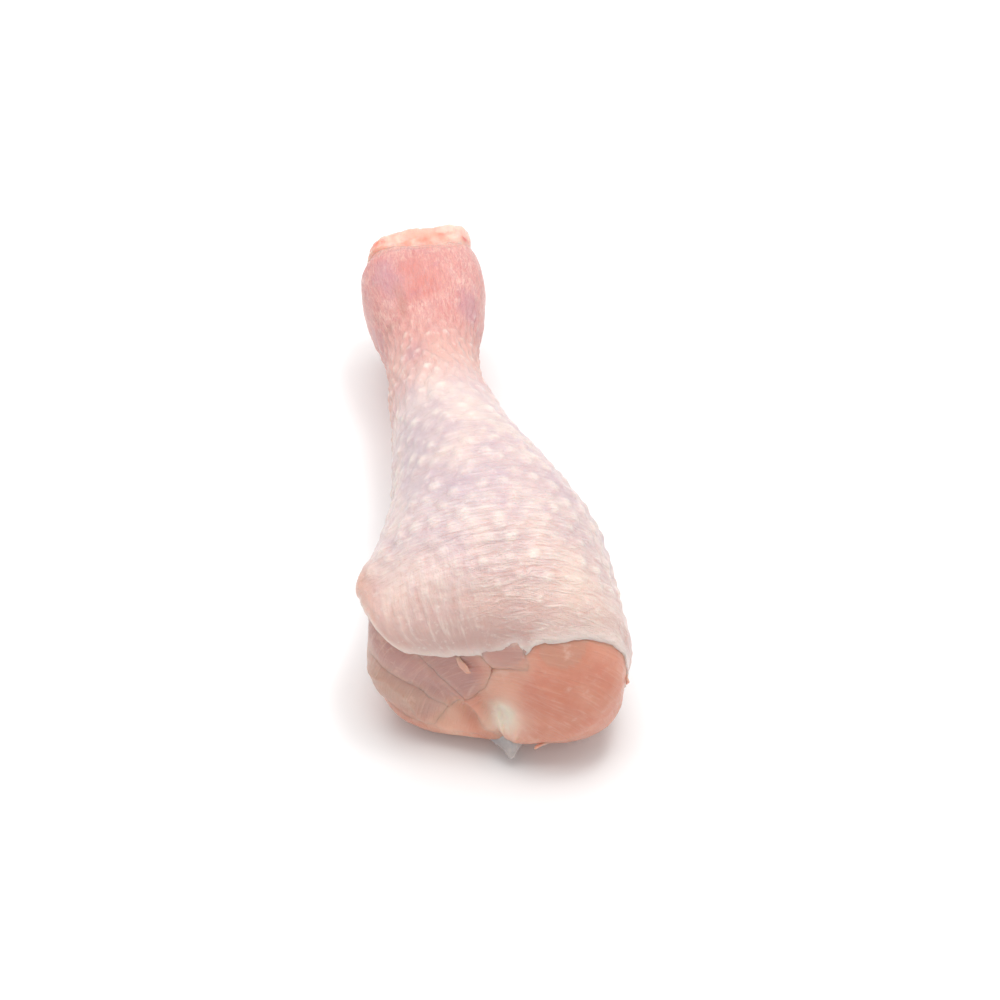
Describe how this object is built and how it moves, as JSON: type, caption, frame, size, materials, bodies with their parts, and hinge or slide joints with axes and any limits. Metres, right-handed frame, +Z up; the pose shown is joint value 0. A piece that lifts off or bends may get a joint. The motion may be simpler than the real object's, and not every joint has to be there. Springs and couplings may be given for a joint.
{
  "type": "raw chicken drumstick",
  "caption": "Raw chicken drumstick with its skin on: a thick end of bare muscle, a narrow neck, and a blocky ankle with the cut joint.",
  "frame": {"origin": "bottom centre of the bounding box, on the table", "axes": "+Z up, +Y from the knee end to the hock along the bone, +X to the outer calf's side"},
  "size_m": [0.0582, 0.1322, 0.0517],
  "materials": {
    "bone": "wet cartilage over bone, off-white to grey",
    "outer_meat": "wet raw meat, orange pink",
    "top_meat": "wet raw meat, pink",
    "inner_meat": "wet raw meat, mauve pink",
    "side_meat": "wet raw meat, tan pink",
    "ankle": "wet sinew and fat, salmon pink",
    "skin": "wet raw poultry skin, cream to lilac, with pale follicle bumps"
  },
  "bodies": {
    "root": {"shin_bone": "bone", "outer_calf_muscle": "outer_meat", "thin_top_muscle": "top_meat", "inner_calf_muscle": "inner_meat", "shin_muscle": "inner_meat", "side_muscle": "side_meat", "deep_muscle": "outer_meat", "ankle_tissue": "ankle", "skin": "skin"}
  },
  "joints": []
}
